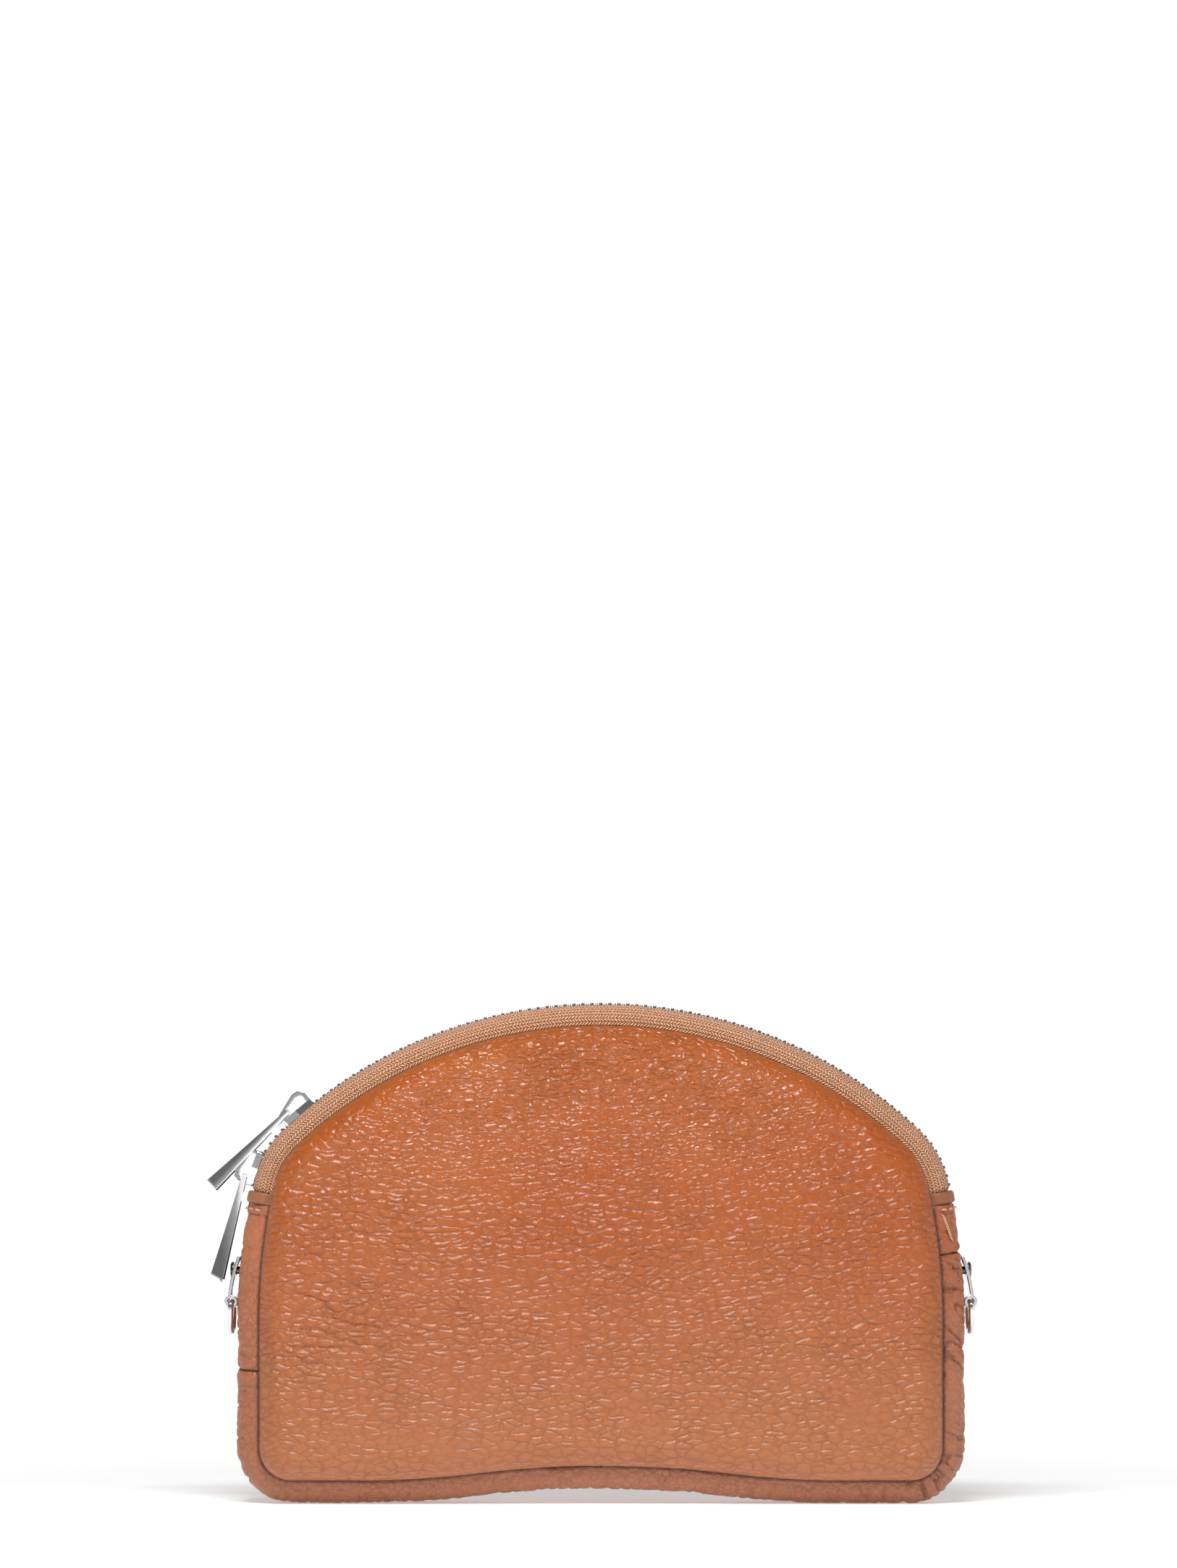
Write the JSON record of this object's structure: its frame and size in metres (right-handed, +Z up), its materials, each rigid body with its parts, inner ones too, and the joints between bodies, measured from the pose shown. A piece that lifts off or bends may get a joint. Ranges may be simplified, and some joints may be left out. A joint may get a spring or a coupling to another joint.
{
  "type": "zippered pouch",
  "caption": "Half-moon leather pouch with a padded front and back, a gusset, a curved two-slider zip over its crown and a ring hanger on each side.",
  "frame": {"origin": "under the middle of the pouch, in the plane that its two feet stand on", "axes": "+Z up, the front panel faces -Y, +X to the right as seen from the front"},
  "size_m": [0.2237, 0.04, 0.1445],
  "materials": {
    "leather": "pebbled, satin",
    "gusset_leather": "fine grain, satin",
    "padding": "soft wadding",
    "lining": "plain weave, matt",
    "zip_tape": "twill weave, matt",
    "zip_teeth": "nickel, worn bright",
    "hardware": "mirror polish",
    "thread": "twisted, matt"
  },
  "bodies": {
    "pouch": {"front_panel": "leather", "back_panel": "leather", "front_padding": "padding", "back_padding": "padding", "front_lining": "lining", "back_lining": "lining", "gusset_lining": "lining", "gusset_base": "gusset_leather", "gusset_side_left": "gusset_leather", "gusset_side_right": "gusset_leather", "zip_end_tab_left": "gusset_leather", "zip_end_tab_right": "gusset_leather", "tab_stitches": "thread", "zip_tape_back": "zip_tape", "zip_teeth_back": "zip_teeth", "ring_hanger_left": "hardware", "ring_hanger_right": "hardware", "hanger_rivet_left": "hardware", "hanger_rivet_right": "hardware"},
    "mouth_front": {"front_panel_mouth": "leather", "front_padding_mouth": "padding", "front_lining_mouth": "lining", "zip_tape_front": "zip_tape", "zip_teeth_front": "zip_teeth"},
    "upper_slider": {"upper_slider_body": "hardware", "upper_slider_crown": "hardware"},
    "upper_pull": {"upper_pull": "hardware"},
    "lower_slider": {"lower_slider_body": "hardware", "lower_slider_crown": "hardware"},
    "lower_pull": {"lower_pull": "hardware"},
    "ring_left": {"ring_left": "hardware"},
    "ring_right": {"ring_right": "hardware"}
  },
  "joints": [
    {"name": "upper_slider_travel", "type": "hinge", "parent": "pouch", "child": "upper_slider", "pos_m": [0, 0, 0.0096], "axis": [0, 1, 0], "range_deg": [0, 81]},
    {"name": "mouth_open", "type": "hinge", "parent": "pouch", "child": "mouth_front", "pos_m": [0, -0.02005, 0.0905], "axis": [1, 0, 0], "range_deg": [0, 16.2], "deforming": ["zip_tape_front", "zip_teeth_front", "zip_teeth_back"]},
    {"name": "upper_pull_swing", "type": "hinge", "parent": "upper_slider", "child": "upper_pull", "pos_m": [-0.09081, 0, 0.11288], "axis": [0, 1, 0], "range_deg": [0, 130]},
    {"name": "lower_slider_travel", "type": "hinge", "parent": "pouch", "child": "lower_slider", "pos_m": [-0.0712, 0, 0.08595], "axis": [0, 1, 0], "range_deg": [0, 3]},
    {"name": "lower_pull_swing", "type": "hinge", "parent": "lower_slider", "child": "lower_pull", "pos_m": [-0.10333, 0, 0.09445], "axis": [0, 1, 0], "range_deg": [0, 36]},
    {"name": "ring_left_swing", "type": "hinge", "parent": "pouch", "child": "ring_left", "pos_m": [-0.10705, 0, 0.0579], "axis": [0, 1, 0], "range_deg": [-6, 100]},
    {"name": "ring_right_swing", "type": "hinge", "parent": "pouch", "child": "ring_right", "pos_m": [0.10705, 0, 0.0579], "axis": [0, -1, 0], "range_deg": [-6, 100]}
  ],
  "couplings": [
    {"joint": "mouth_open", "follows": "upper_slider_travel", "ratio": 0.2}
  ]
}
